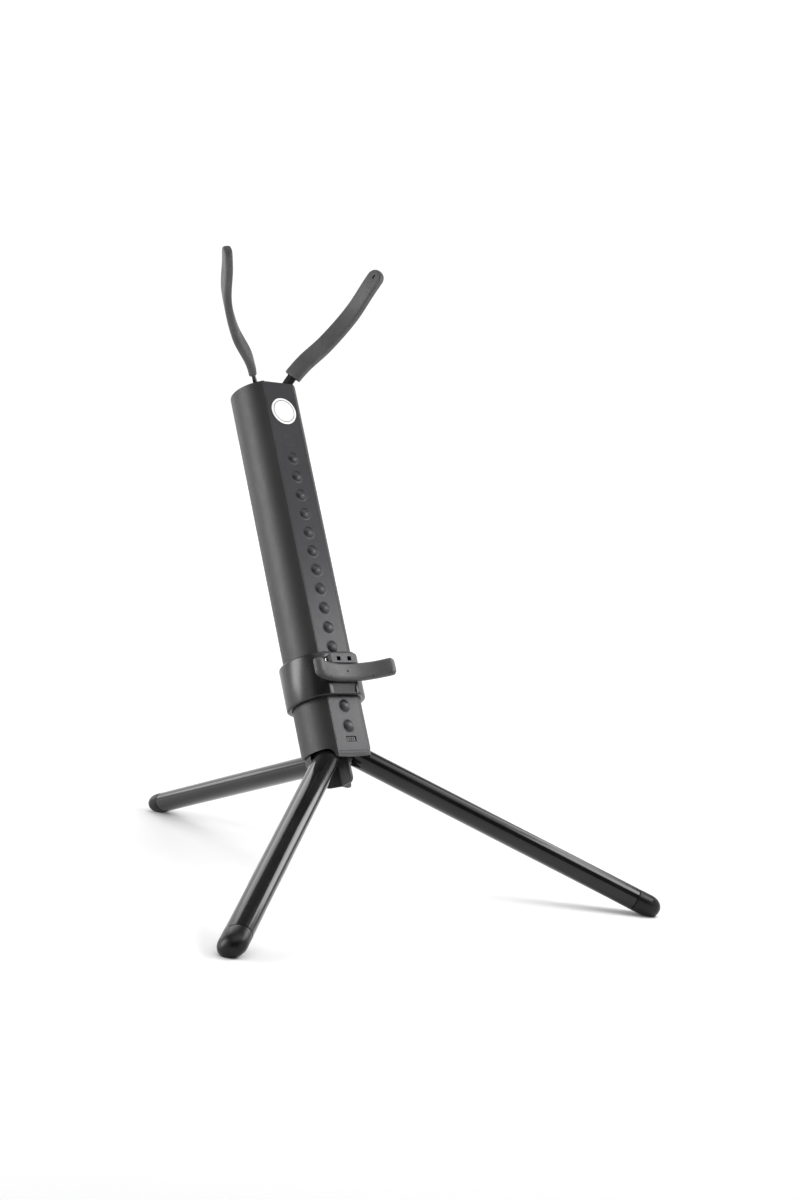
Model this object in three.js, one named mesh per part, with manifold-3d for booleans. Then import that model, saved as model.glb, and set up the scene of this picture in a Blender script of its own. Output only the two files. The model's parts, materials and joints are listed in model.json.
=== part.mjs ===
// A folding saxophone stand: a leaning D-section stem on three hinged tube legs, a sliding collar
// with a padded yoke for the bow, and two padded arms for the bell.
//
// Everything is drawn in the stem's own frame: Z runs up along the stem from its lower end, the
// flat front face looks along -Y, and X is to the right. The stem then leans back on its legs.
// Millimetres and degrees.

import * as THREE from "three";
import { mergeVertices } from "three/addons/utils/BufferGeometryUtils.js";
import Module from "manifold-3d";

const wasm = await Module();
wasm.setup();

const GAP = 0.3; // between pieces that touch
const RUN = 0.4; // clearance round a piece that slides or turns
const OVER = 1; // how far a cutter runs past what it cuts
const ARC_STEPS = 16; // half the segments in one of the stem's long arcs
const OVAL_STEPS = 13; // half the segments round a leg

// Stem
const STEM_LENGTH = 381;
const STEM_RADIUS = 32.2;
const STEM_WALL = 2.2;
const FACE = 27.2; // axis to the flat front face
const RAIL_HALF = 13.5; // inner rails that carry the rack
const RAIL_BACK = 22.5;
const RIM_SIDE = 9.5; // height of the lower rim beside the front legs
const RIM_REAR = 24; // height of the cut-out for the rear leg
const MOUTH = { front: -25.4, frontTop: -18, rear: 19.5, corner: 3.5 }; // depths of the rim's steps
const INSERT_FRONT = 22.2; // flat front of the pieces inside the stem

// Rack on the front face
const RACK_HALF = 16.6;
const RACK_THICK = 2.6;
const DOME_COUNT = 15;
const DOME_PITCH = 19.34;
const DOME_LOWEST = 28.7;
const DOME_RADIUS = 5.9;
const DOME_HEIGHT = 2.6;
const DOME_SUNK = 0.6; // how far a dome's root runs into the strip
const DOME_STEPS = 2;
const WINDOW = { width: 11.3, height: 5.4, level: 16.2 };
const BADGE = { radius: 13.8, thick: 0.6, level: 349.4 };

// Legs
const LEG_AZIMUTHS = { right: 62.2, rear: 180, left: -62.2 }; // turned from the front
const FRONT_SPREAD = 52.1; // from straight down the stem
const REAR_SPREAD = 99.8;
const HINGE_OUT = 15; // hinge to stem axis
const HINGE_LEVEL = 7.7;
const FOOT_REACH = 305; // hinge to foot centre
const FOOT_DROP = 9.4; // foot centre to floor
const LEG_HALF_WIDE = 13.4;
const LEG_HALF_DEEP = 10.1;
const LEG_WALL = 1;
const LEG_START = 3; // hinge to the tube's end
const CAP_SEAM = 293;
const CAP_END = 317.5;
const CAP_TIP = 0.06; // scale of the last ring, where the nose closes
const SHANK_LENGTH = 14;
const KNUCKLE = { radius: 6.3, half: 8 };
const PLUG_LENGTH = 24;
const LEG_PIN = { radius: 2.3, half: 15 };

// Carriage that carries the leg hinges
const CARRIAGE_LOW = 3;
const CARRIAGE_HIGH = 34;
const CHANNEL_TOP = 22.5;
const WEB = { half: 1.1, reach: 17, low: -21, corner: 6 };

// Release latch behind the window
const LATCH = { half: 4.2, thick: 0.8, low: 12.2, high: 31.6, pivot: 29, back: 22.6 };
const LATCH_NUB = { half: 5.2, tall: 4.4, front: 26.7 };
const LATCH_GROOVE = { half: 5.6, back: 18.9, low: 11, high: 28.5 };
const RIVET = { radius: 1.5, head: 2.6, front: 24.35, headThick: 0.45, back: 17 };

// Sliding collar
const COLLAR_LOW = 57.5;
const COLLAR_HIGH = 99.5;
const COLLAR_RADIUS = 37.2;
const COLLAR_FACE = 33.2;
const GROOVE_HALF = 7.2; // groove that clears the domes
const GROOVE_FACE = 30.2;
const LEDGE = { half: 15, face: 40.9, low: 85.4, high: 94.5 };
const POCKET = { side: 4, offset: 6, level: 89.6, depth: 5 };
const DETENT = { half: 4, thick: 0.5, seat: 30.75, nose: 28.8, reach: 12.6, ramp: 4 };
const DETENT_POCKET = { half: 4.6, face: 31.4, spare: 0.8 };

// Yoke on the collar
const YOKE_LEVEL = 76.5;
const YOKE_RADIUS = 56.7;
const YOKE_CENTRE = 94.9; // axis to the centre of the yoke's curve
const YOKE_SWEEP = 46;
const YOKE_STEPS = 12;
const THINNEST = 0.4; // half of the least thickness where an end shrinks to a point
const PAD = { thick: 4.6, tall: 8.1, corner: 3, end: 4 };
const BAR = { thick: 2, tall: 4.5, corner: 0.8, sweep: 40 };
const SEAT_HALF = 14;
const SCREW = { radius: 1.5, head: 2.8, headThick: 1.8, offset: 11, front: 37.5 };

// Upper arms
const PLUG_LOW = 356;
const ARM_PIVOT = [12.2, -10.3, 366];
const ARM_ROUTE = [
  [12.2, -10.3, 361],
  [12.2, -10.3, 368],
  [15.2, -12.9, 378],
  [19.6, -17.5, 386.7],
  [31.5, -31, 401],
  [53, -47, 419],
  [73, -72, 441.5],
  [83, -96.5, 460.5],
  [90, -111.5, 472.5],
];
const ARM_FOLD = 41; // heading of the fold plane, from the side towards the front
const ARM_STEPS = 18;
const STRIP = { halfWide: 4.75, halfThick: 1.5, corner: 0.6, cornerSteps: 1 };
const SLEEVE = { halfWide: 8.8, halfThick: 3.85, corner: 2.6, cornerSteps: 2 };
const SLEEVE_TIP = [20, 40, 57, 70, 80, 86]; // degrees round the sleeve's half-round end
const SLEEVE_START = 0.21; // fractions of the arm's length
const SLEEVE_END = 0.935;
const STRIP_END = 0.92;
const BORE_START = 0.1; // the sleeve's bore starts before the sleeve and ends past the strip
const BORE_END = 0.924;
const ARM_PIN = { radius: 1.85, half: 7 };
const ARM_SLOT = { inner: 9.5, outer: 12, half: 2, low: 359 };

const COLOURS = {
  shell: 0x3a3a3c,
  rack: 0x46464c,
  rubber: 0x4a4a4a,
  inner: 0x2c2c2e,
  steel: 0x9a9a9e,
  leg: 0x101012,
  badge: 0xf2f2f2,
};

const rad = THREE.MathUtils.degToRad;

// ---------------------------------------------------------------------------------------------
// Solids

function solid(geometry) {
  const bare = geometry.index ? geometry.toNonIndexed() : geometry.clone();
  bare.deleteAttribute("normal");
  bare.deleteAttribute("uv");
  const merged = mergeVertices(bare, 1e-4);
  const vertProperties = merged.attributes.position.array;
  const triVerts = new Uint32Array(merged.index.array);
  return new wasm.Manifold(new wasm.Mesh({ numProp: 3, vertProperties, triVerts }));
}

function geometryOf(shape) {
  const mesh = shape.getMesh();
  const geometry = new THREE.BufferGeometry();
  geometry.setAttribute("position", new THREE.BufferAttribute(mesh.vertProperties, 3));
  geometry.setIndex(new THREE.BufferAttribute(mesh.triVerts, 1));
  geometry.computeVertexNormals();
  return geometry;
}

function join(first, ...others) {
  return geometryOf(others.reduce((sum, part) => sum.add(solid(part)), solid(first)));
}

function cut(first, ...tools) {
  return geometryOf(tools.reduce((rest, tool) => rest.subtract(solid(tool)), solid(first)));
}

// A box from its lowest to its highest corner.
function box(low, high) {
  const size = high.map((value, i) => value - low[i]);
  const middle = high.map((value, i) => (value + low[i]) / 2);
  return new THREE.BoxGeometry(...size).translate(...middle);
}

// A flat outline in X and Y, raised along Z.
function prism(shape, low, high, curveSegments = 12) {
  const options = { depth: high - low, bevelEnabled: false, curveSegments };
  return new THREE.ExtrudeGeometry(shape, options).translate(0, 0, low);
}

// A round bar along X, centred on the origin.
function barAlongX(radius, half, segments = 16) {
  return new THREE.CylinderGeometry(radius, radius, 2 * half, segments).rotateZ(Math.PI / 2);
}

// A round bar along Y between two depths.
function barAlongY(radius, low, high, segments = 16) {
  const bar = new THREE.CylinderGeometry(radius, radius, high - low, segments);
  return bar.translate(0, (low + high) / 2, 0);
}

// A closed skin through rings of equally many points, each ring turning right-handed about the
// way the rings advance, with a fan of triangles over each end.
function loft(rings) {
  const count = rings[0].length;
  const points = rings.flat();
  const faces = [];
  for (let i = 0; i + 1 < rings.length; i += 1) {
    for (let j = 0; j < count; j += 1) {
      const a = i * count + j;
      const b = i * count + ((j + 1) % count);
      faces.push(a, b, b + count, a, b + count, a + count);
    }
  }
  const ends = [rings[0], rings[rings.length - 1]];
  const middles = ends.map((ring) =>
    ring.reduce((sum, p) => sum.add(p), new THREE.Vector3()).divideScalar(count),
  );
  const last = (rings.length - 1) * count;
  for (let j = 0; j < count; j += 1) {
    const next = (j + 1) % count;
    faces.push(points.length, next, j);
    faces.push(points.length + 1, last + j, last + next);
  }
  const geometry = new THREE.BufferGeometry();
  geometry.setFromPoints([...points, ...middles]);
  geometry.setIndex(faces);
  geometry.computeVertexNormals();
  return geometry;
}

// A rectangle with rounded corners as [across, along] pairs, right-handed.
function roundedRing(halfAcross, halfAlong, corner, steps = 2) {
  const ring = [];
  for (let quarter = 0; quarter < 4; quarter += 1) {
    const signX = quarter === 0 || quarter === 3 ? 1 : -1;
    const signY = quarter < 2 ? 1 : -1;
    for (let i = 0; i <= steps; i += 1) {
      const angle = (Math.PI / 2) * (quarter + i / steps);
      const across = signX * (halfAcross - corner) + corner * Math.cos(angle);
      const along = signY * (halfAlong - corner) + corner * Math.sin(angle);
      ring.push([across, along]);
    }
  }
  return ring;
}

function ellipseShape(halfX, halfY) {
  return new THREE.Shape().absellipse(0, 0, halfX, halfY, 0, 2 * Math.PI);
}

// ---------------------------------------------------------------------------------------------
// Scene

const stand = new THREE.Group();
const stem = new THREE.Group();
stand.add(stem);

function place(parent, name, geometry, colour, roughness, metalness = 0) {
  const material = new THREE.MeshStandardMaterial({ color: colour, roughness, metalness });
  const mesh = new THREE.Mesh(geometry, material);
  mesh.name = name;
  parent.add(mesh);
}

// The lean that puts all three feet on one level floor.
function footInStem(spread) {
  const angle = rad(spread);
  const out = HINGE_OUT + FOOT_REACH * Math.sin(angle);
  return { out, level: HINGE_LEVEL - FOOT_REACH * Math.cos(angle) };
}

const frontFoot = footInStem(FRONT_SPREAD);
const rearFoot = footInStem(REAR_SPREAD);
const footRise = rearFoot.level - frontFoot.level;
const footRun = rearFoot.out + frontFoot.out * Math.cos(rad(LEG_AZIMUTHS.right));
const LEAN = Math.atan2(footRise, footRun);
stem.rotation.x = -LEAN;
const rearFootHeight = rearFoot.level * Math.cos(LEAN) - rearFoot.out * Math.sin(LEAN);
stem.position.z = FOOT_DROP - rearFootHeight;

// ---------------------------------------------------------------------------------------------
// Stem

const innerRadius = STEM_RADIUS - STEM_WALL;

// A D: a circle cut by a straight front.
function dSection(radius, front) {
  const corner = Math.asin(front / radius);
  return new THREE.Shape().absarc(0, 0, radius, -corner, Math.PI + corner);
}

function stemShell() {
  const lip = RACK_HALF + GAP;
  const ledge = FACE - RACK_THICK - GAP;
  const outer = Math.asin(FACE / STEM_RADIUS);
  const inner = Math.asin(RAIL_BACK / innerRadius);
  const outline = new THREE.Shape();
  outline.absarc(0, 0, STEM_RADIUS, -outer, Math.PI + outer);
  outline.lineTo(-lip, -FACE);
  outline.lineTo(-lip, -ledge);
  outline.lineTo(-RAIL_HALF, -ledge);
  outline.lineTo(-RAIL_HALF, -RAIL_BACK);
  outline.absarc(0, 0, innerRadius, Math.PI + inner, -inner, true);
  outline.lineTo(RAIL_HALF, -RAIL_BACK);
  outline.lineTo(RAIL_HALF, -ledge);
  outline.lineTo(lip, -ledge);
  outline.lineTo(lip, -FACE);
  const tube = prism(outline, 0, STEM_LENGTH, ARC_STEPS);

  // Side view of the mouth: long at the face, shorter beside the front legs, open at the rear.
  const side = STEM_RADIUS + OVER;
  const { front, frontTop, rear, corner } = MOUTH;
  const mouth = new THREE.Shape();
  mouth.moveTo(front, -OVER);
  mouth.lineTo(side, -OVER);
  mouth.lineTo(side, RIM_REAR);
  mouth.lineTo(rear + corner, RIM_REAR);
  mouth.quadraticCurveTo(rear, RIM_REAR, rear, RIM_REAR - corner);
  mouth.lineTo(rear, RIM_SIDE + corner);
  mouth.quadraticCurveTo(rear, RIM_SIDE, rear - corner, RIM_SIDE);
  mouth.lineTo(frontTop, RIM_SIDE);
  mouth.quadraticCurveTo(front, RIM_SIDE, front, 0);
  const opening = prism(mouth, -side, side, 4);
  opening.rotateX(Math.PI / 2).rotateZ(Math.PI / 2);
  return cut(tube, opening);
}

function heightRack() {
  const strip = box([-RACK_HALF, -FACE, 0], [RACK_HALF, -FACE + RACK_THICK, STEM_LENGTH]);
  const domeCurve = (DOME_RADIUS ** 2 + DOME_HEIGHT ** 2) / (2 * DOME_HEIGHT);
  const sweep = Math.asin(DOME_RADIUS / domeCurve);
  const profile = [new THREE.Vector2(0, -DOME_SUNK), new THREE.Vector2(DOME_RADIUS, -DOME_SUNK)];
  for (let i = DOME_STEPS; i >= 0; i -= 1) {
    const angle = (sweep * i) / DOME_STEPS;
    const level = DOME_HEIGHT - domeCurve * (1 - Math.cos(angle));
    profile.push(new THREE.Vector2(domeCurve * Math.sin(angle), level));
  }
  const domes = [];
  for (let k = 0; k < DOME_COUNT; k += 1) {
    const dome = new THREE.LatheGeometry(profile, 12).rotateX(Math.PI);
    domes.push(dome.translate(0, -FACE, DOME_LOWEST + k * DOME_PITCH));
  }
  const low = WINDOW.level - WINDOW.height / 2;
  const high = WINDOW.level + WINDOW.height / 2;
  const window = box(
    [-WINDOW.width / 2, -FACE - OVER, low],
    [WINDOW.width / 2, -FACE + RACK_THICK + OVER, high],
  );
  return cut(join(strip, ...domes), window);
}

function badgeDisc() {
  const back = -FACE - GAP;
  return barAlongY(BADGE.radius, back - BADGE.thick, back, 32).translate(0, 0, BADGE.level);
}

// Moves a shape drawn with X along the fold and Y across it to one arm's fold plane.
function toArm(geometry, side) {
  geometry.rotateZ(-rad(ARM_FOLD) * side + (side < 0 ? Math.PI : 0));
  return geometry.translate(ARM_PIVOT[0] * side, ARM_PIVOT[1], 0);
}

function topPlug() {
  const body = prism(dSection(innerRadius - GAP, INSERT_FRONT), PLUG_LOW, STEM_LENGTH - GAP, ARC_STEPS);
  const tools = [];
  for (const side of [1, -1]) {
    const slotLow = [-ARM_SLOT.inner, -ARM_SLOT.half, ARM_SLOT.low];
    const slotHigh = [ARM_SLOT.outer, ARM_SLOT.half, STEM_LENGTH + OVER];
    tools.push(toArm(box(slotLow, slotHigh), side));
    const bore = barAlongY(ARM_PIN.radius + GAP, -ARM_PIN.half - GAP, ARM_PIN.half + GAP);
    tools.push(toArm(bore.translate(0, 0, ARM_PIVOT[2]), side));
  }
  return cut(body, ...tools);
}

function armPin(side) {
  const pin = barAlongY(ARM_PIN.radius, -ARM_PIN.half, ARM_PIN.half);
  return toArm(pin.translate(0, 0, ARM_PIVOT[2]), side);
}

place(stem, "stem_shell", stemShell(), COLOURS.shell, 0.45);
place(stem, "height_rack", heightRack(), COLOURS.rack, 0.6);
place(stem, "badge_disc", badgeDisc(), COLOURS.badge, 0.4);
place(stem, "top_plug", topPlug(), COLOURS.inner, 0.6);
place(stem, "arm_pin_left", armPin(-1), COLOURS.steel, 0.35, 0.9);
place(stem, "arm_pin_right", armPin(1), COLOURS.steel, 0.35, 0.9);

// ---------------------------------------------------------------------------------------------
// Leg carriage: a block with a channel for each leg, a thin three-armed web between the folded
// legs, and bores for the hinge pins

// Plan of the space that one leg's root sweeps, along X from its hinge outwards.
function channelShape() {
  const half = LEG_HALF_WIDE + RUN;
  const outward = STEM_RADIUS + 8;
  const steps = 8;
  const shape = new THREE.Shape();
  shape.moveTo(outward, -half);
  shape.lineTo(outward, half);
  for (let i = 0; i <= steps; i += 1) {
    const across = half * (1 - (2 * i) / steps);
    const share = Math.min(1, Math.abs(across) / LEG_HALF_WIDE);
    const deep = LEG_HALF_DEEP * Math.sqrt(1 - share * share);
    shape.lineTo(HINGE_OUT - Math.hypot(LEG_START, deep) - RUN, across);
  }
  return shape;
}

function webArm() {
  const shape = new THREE.Shape();
  shape.moveTo(-WEB.half, WEB.low);
  shape.lineTo(WEB.reach - WEB.corner, WEB.low);
  shape.quadraticCurveTo(WEB.reach, WEB.low, WEB.reach, WEB.low + WEB.corner);
  shape.lineTo(WEB.reach, CHANNEL_TOP + OVER);
  shape.lineTo(-WEB.half, CHANNEL_TOP + OVER);
  return prism(shape, -WEB.half, WEB.half, 5).rotateX(Math.PI / 2);
}

// Turns a shape that points along X to a bearing counted from the front, clockwise from above.
function toBearing(geometry, degrees) {
  return geometry.rotateZ(-Math.PI / 2 + rad(degrees));
}

function carriage() {
  const outline = dSection(innerRadius - GAP, INSERT_FRONT);
  const body = prism(outline, CARRIAGE_LOW, CARRIAGE_HIGH, ARC_STEPS);
  const bearings = Object.values(LEG_AZIMUTHS);
  const channels = bearings.map((bearing) =>
    toBearing(prism(channelShape(), CARRIAGE_LOW - OVER, CHANNEL_TOP), bearing),
  );
  const webs = bearings.map((bearing) => toBearing(webArm(), bearing + 180));
  const bores = bearings.map((bearing) => {
    const bore = barAlongX(LEG_PIN.radius + GAP, LEG_PIN.half + GAP).rotateZ(Math.PI / 2);
    return toBearing(bore.translate(HINGE_OUT, 0, HINGE_LEVEL), bearing);
  });
  const groove = box(
    [-LATCH_GROOVE.half, -INSERT_FRONT - OVER, LATCH_GROOVE.low],
    [LATCH_GROOVE.half, -LATCH_GROOVE.back, LATCH_GROOVE.high],
  );
  const rivetHole = barAlongY(RIVET.radius + GAP, -INSERT_FRONT - OVER, -RIVET.back + GAP);
  rivetHole.translate(0, 0, LATCH.pivot);
  return cut(join(cut(body, ...channels), ...webs), ...bores, groove, rivetHole);
}

function latch() {
  const leaf = box(
    [-LATCH.half, -LATCH.back - LATCH.thick, LATCH.low],
    [LATCH.half, -LATCH.back, LATCH.high],
  );
  const nub = box(
    [-LATCH_NUB.half, -LATCH_NUB.front, WINDOW.level - LATCH_NUB.tall / 2],
    [LATCH_NUB.half, -LATCH.back, WINDOW.level + LATCH_NUB.tall / 2],
  );
  const hole = barAlongY(RIVET.radius + RUN, -FACE, -INSERT_FRONT).translate(0, 0, LATCH.pivot);
  return cut(join(leaf, nub), hole);
}

function latchRivet() {
  const headBack = -RIVET.front + RIVET.headThick;
  const head = barAlongY(RIVET.head, -RIVET.front, headBack);
  const shank = barAlongY(RIVET.radius, -RIVET.front, -RIVET.back);
  return join(head, shank).translate(0, 0, LATCH.pivot);
}

place(stem, "leg_carriage", carriage(), COLOURS.inner, 0.6);
place(stem, "latch_rivet", latchRivet(), COLOURS.steel, 0.35, 0.9);
place(stem, "release_latch", latch(), COLOURS.steel, 0.4, 0.8);

// ---------------------------------------------------------------------------------------------
// Legs, each drawn along its own Z from the hinge, with X along the pin and Y upwards

// Rings of the tube's oval that shrink to a rounded end.
function capRings() {
  const points = 2 * OVAL_STEPS;
  const rounded = CAP_END - FOOT_REACH;
  const levels = [[CAP_SEAM + GAP, 1], [FOOT_REACH, 1]];
  for (const degrees of [25, 45, 62, 78]) {
    levels.push([FOOT_REACH + rounded * Math.sin(rad(degrees)), Math.cos(rad(degrees))]);
  }
  levels.push([CAP_END, CAP_TIP]);
  return levels.map(([along, scale]) => {
    const ring = [];
    for (let j = 0; j < points; j += 1) {
      const angle = (2 * Math.PI * j) / points;
      const x = LEG_HALF_WIDE * scale * Math.cos(angle);
      ring.push(new THREE.Vector3(x, LEG_HALF_DEEP * scale * Math.sin(angle), along));
    }
    return ring;
  });
}

function legTube() {
  const wall = ellipseShape(LEG_HALF_WIDE, LEG_HALF_DEEP);
  wall.holes.push(ellipseShape(LEG_HALF_WIDE - LEG_WALL, LEG_HALF_DEEP - LEG_WALL));
  return prism(wall, LEG_START, CAP_SEAM, OVAL_STEPS);
}

function boreOval() {
  return ellipseShape(LEG_HALF_WIDE - LEG_WALL - GAP, LEG_HALF_DEEP - LEG_WALL - GAP);
}

function hingePlug() {
  const insert = prism(boreOval(), LEG_START + GAP, PLUG_LENGTH, OVAL_STEPS);
  const knuckle = barAlongX(KNUCKLE.radius, KNUCKLE.half, 20);
  return cut(join(insert, knuckle), barAlongX(LEG_PIN.radius + RUN, KNUCKLE.half + OVER));
}

function footCap(leg) {
  const shank = prism(boreOval(), CAP_SEAM - SHANK_LENGTH, CAP_SEAM + OVER, OVAL_STEPS);
  const far = 2 * FOOT_REACH;
  leg.updateWorldMatrix(true, false);
  const floor = box([-far, -far, -far], [far, far, 0]);
  floor.applyMatrix4(leg.matrixWorld.clone().invert());
  return cut(join(loft(capRings()), shank), floor);
}

for (const [name, bearing] of Object.entries(LEG_AZIMUTHS)) {
  const spread = name === "rear" ? REAR_SPREAD : FRONT_SPREAD;
  const turned = new THREE.Group();
  turned.rotation.z = rad(bearing);
  stem.add(turned);
  const leg = new THREE.Group();
  leg.position.set(0, -HINGE_OUT, HINGE_LEVEL);
  leg.rotation.x = Math.PI - rad(spread);
  turned.add(leg);
  place(leg, `leg_tube_${name}`, legTube(), COLOURS.leg, 0.15);
  place(leg, `leg_plug_${name}`, hingePlug(), COLOURS.inner, 0.6);
  place(leg, `foot_cap_${name}`, footCap(leg), COLOURS.rubber, 0.6);
  place(leg, `leg_pin_${name}`, barAlongX(LEG_PIN.radius, LEG_PIN.half), COLOURS.steel, 0.3, 0.9);
}

// ---------------------------------------------------------------------------------------------
// Collar

function collar() {
  const outline = dSection(COLLAR_RADIUS, COLLAR_FACE);
  const radius = STEM_RADIUS + RUN;
  const front = FACE + GAP;
  const corner = Math.asin(front / radius);
  const hole = new THREE.Path();
  hole.absarc(0, 0, radius, -corner, Math.PI + corner);
  hole.lineTo(-GROOVE_HALF, -front);
  hole.lineTo(-GROOVE_HALF, -GROOVE_FACE);
  hole.lineTo(GROOVE_HALF, -GROOVE_FACE);
  hole.lineTo(GROOVE_HALF, -front);
  outline.holes.push(hole);
  const sleeve = prism(outline, COLLAR_LOW, COLLAR_HIGH, ARC_STEPS);
  const ledge = box(
    [-LEDGE.half, -LEDGE.face, LEDGE.low],
    [LEDGE.half, -COLLAR_FACE + OVER, LEDGE.high],
  );
  const half = POCKET.side / 2;
  const tools = [-POCKET.offset, POCKET.offset].map((x) =>
    box(
      [x - half, -LEDGE.face - OVER, POCKET.level - half],
      [x + half, -LEDGE.face + POCKET.depth, POCKET.level + half],
    ),
  );
  const reach = DETENT.reach + DETENT_POCKET.spare;
  tools.push(
    box(
      [-DETENT_POCKET.half, -DETENT_POCKET.face, YOKE_LEVEL - reach],
      [DETENT_POCKET.half, -GROOVE_FACE + OVER, YOKE_LEVEL + reach],
    ),
  );
  for (const x of [-SCREW.offset, SCREW.offset]) {
    const bore = barAlongY(SCREW.radius + GAP, -COLLAR_FACE - OVER, -FACE + OVER);
    const sink = barAlongY(SCREW.head + GAP, -front - SCREW.headThick - 2 * GAP, -FACE + OVER);
    tools.push(bore.translate(x, 0, YOKE_LEVEL), sink.translate(x, 0, YOKE_LEVEL));
  }
  return cut(join(sleeve, ledge), ...tools);
}

// A bowed leaf whose nose rests between two domes.
function detentSpring() {
  const back = -DETENT.seat;
  const nose = -DETENT.nose;
  const side = [
    [-DETENT.reach, back],
    [-DETENT.ramp, back],
    [-1, nose],
    [1, nose],
    [DETENT.ramp, back],
    [DETENT.reach, back],
  ];
  const inner = side.map(([level, depth]) => new THREE.Vector2(depth, level));
  const outer = inner.map((p) => new THREE.Vector2(p.x - DETENT.thick, p.y)).reverse();
  const leaf = prism(new THREE.Shape([...inner, ...outer]), -DETENT.half, DETENT.half);
  return leaf.rotateX(Math.PI / 2).rotateZ(Math.PI / 2).translate(0, 0, YOKE_LEVEL);
}

// A bar swept round the yoke's curve. Its ends shrink over the last few millimetres.
function yokeSweep(ring, sweep, end) {
  const stations = [];
  const endAngle = THREE.MathUtils.radToDeg(end / YOKE_RADIUS);
  const rounding = end > 0 ? [90, 60, 30] : [];
  for (const degrees of rounding) {
    stations.push([-sweep - endAngle * Math.sin(rad(degrees)), Math.cos(rad(degrees))]);
  }
  for (let i = 0; i <= YOKE_STEPS; i += 1) {
    stations.push([-sweep + (2 * sweep * i) / YOKE_STEPS, 1]);
  }
  for (const degrees of [...rounding].reverse()) {
    stations.push([sweep + endAngle * Math.sin(rad(degrees)), Math.cos(rad(degrees))]);
  }
  return stations.map(([degrees, scale]) => {
    const turn = rad(degrees);
    const shrink = end * (1 - scale);
    return ring.map(([across, along]) => {
      const out = YOKE_RADIUS + Math.sign(across) * Math.max(Math.abs(across) - shrink, THINNEST);
      const level = Math.sign(along) * Math.max(Math.abs(along) - shrink, THINNEST);
      const x = out * Math.sin(turn);
      return new THREE.Vector3(x, out * Math.cos(turn) - YOKE_CENTRE, YOKE_LEVEL + level);
    });
  });
}

function barRing(extra) {
  return roundedRing(BAR.thick + extra, BAR.tall + extra, BAR.corner, 1);
}

function seatBox(extra, front) {
  return box(
    [-SEAT_HALF - extra, -front, YOKE_LEVEL - BAR.tall - extra],
    [SEAT_HALF + extra, -COLLAR_FACE - (extra > 0 ? -OVER : GAP), YOKE_LEVEL + BAR.tall + extra],
  );
}

function yokeBar() {
  const bar = loft(yokeSweep(barRing(0), BAR.sweep, 0));
  const screwHoles = [-SCREW.offset, SCREW.offset].map((x) =>
    barAlongY(SCREW.radius + GAP, -SCREW.front - GAP, -COLLAR_FACE).translate(x, 0, YOKE_LEVEL),
  );
  return cut(join(bar, seatBox(0, SCREW.front + OVER)), ...screwHoles);
}

function yokePad() {
  const ring = roundedRing(PAD.thick, PAD.tall, PAD.corner);
  const skin = loft(yokeSweep(ring, YOKE_SWEEP, PAD.end));
  const hollow = loft(yokeSweep(barRing(GAP), BAR.sweep + GAP, 0));
  return cut(skin, hollow, seatBox(GAP, SCREW.front + OVER + GAP));
}

function yokeScrew(x) {
  const headFront = -FACE - 2 * GAP;
  const head = barAlongY(SCREW.head, headFront - SCREW.headThick, headFront);
  const shank = barAlongY(SCREW.radius, -SCREW.front, headFront);
  return join(head, shank).translate(x, 0, YOKE_LEVEL);
}

place(stem, "slide_collar", collar(), COLOURS.shell, 0.4);
place(stem, "detent_spring", detentSpring(), COLOURS.steel, 0.3, 0.9);
place(stem, "yoke_bar", yokeBar(), COLOURS.inner, 0.6);
place(stem, "yoke_pad", yokePad(), COLOURS.rubber, 0.75);
place(stem, "yoke_screw_left", yokeScrew(-SCREW.offset), COLOURS.steel, 0.3, 0.9);
place(stem, "yoke_screw_right", yokeScrew(SCREW.offset), COLOURS.steel, 0.3, 0.9);

// ---------------------------------------------------------------------------------------------
// Arms: a flat steel strip that stays edge-up as it sweeps out and forwards, in a rubber sleeve

const armCurve = new THREE.CatmullRomCurve3(ARM_ROUTE.map((p) => new THREE.Vector3(...p)));
const foldHeading = new THREE.Vector3(Math.cos(rad(ARM_FOLD)), -Math.sin(rad(ARM_FOLD)), 0);

// The arm's place, and its width and thickness directions, at a fraction of its length.
function armFrame(fraction) {
  const place = armCurve.getPointAt(fraction);
  const tangent = armCurve.getTangentAt(fraction);
  const free = THREE.MathUtils.smoothstep(place.z, STEM_LENGTH, STEM_LENGTH + 16);
  const heading = new THREE.Vector3(tangent.x, tangent.y, 0).normalize();
  heading.lerpVectors(foldHeading, heading, free).normalize();
  const flat = new THREE.Vector3(-heading.y, heading.x, 0);
  const wide = new THREE.Vector3().crossVectors(flat, tangent).normalize();
  return { place, tangent, flat, wide };
}

function armSweep(section, from, to, side, tip = []) {
  const { halfWide, halfThick, corner, cornerSteps } = section;
  const steps = Math.round((to - from) * ARM_STEPS);
  const stations = [];
  for (let i = 0; i <= steps; i += 1) stations.push([from + ((to - from) * i) / steps, 0, halfWide, halfThick]);
  for (const degrees of tip) {
    const beyond = halfWide * Math.sin(rad(degrees));
    const short = Math.max(corner - (halfWide - beyond), 0);
    const thick = halfThick - corner + Math.sqrt(corner ** 2 - short ** 2);
    stations.push([to, beyond, halfWide * Math.cos(rad(degrees)), thick]);
  }
  return stations.map(([fraction, beyond, wide, thick]) => {
    const frame = armFrame(fraction);
    const centre = frame.place.clone().addScaledVector(frame.tangent, beyond);
    const outline = roundedRing(wide, thick, Math.min(corner, 0.8 * thick, 0.8 * wide), cornerSteps);
    const ring = outline.map(([a, b]) => {
      const point = centre.clone().addScaledVector(frame.wide, a).addScaledVector(frame.flat, b);
      point.x *= side;
      return point;
    });
    return side > 0 ? ring : ring.reverse();
  });
}

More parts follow.
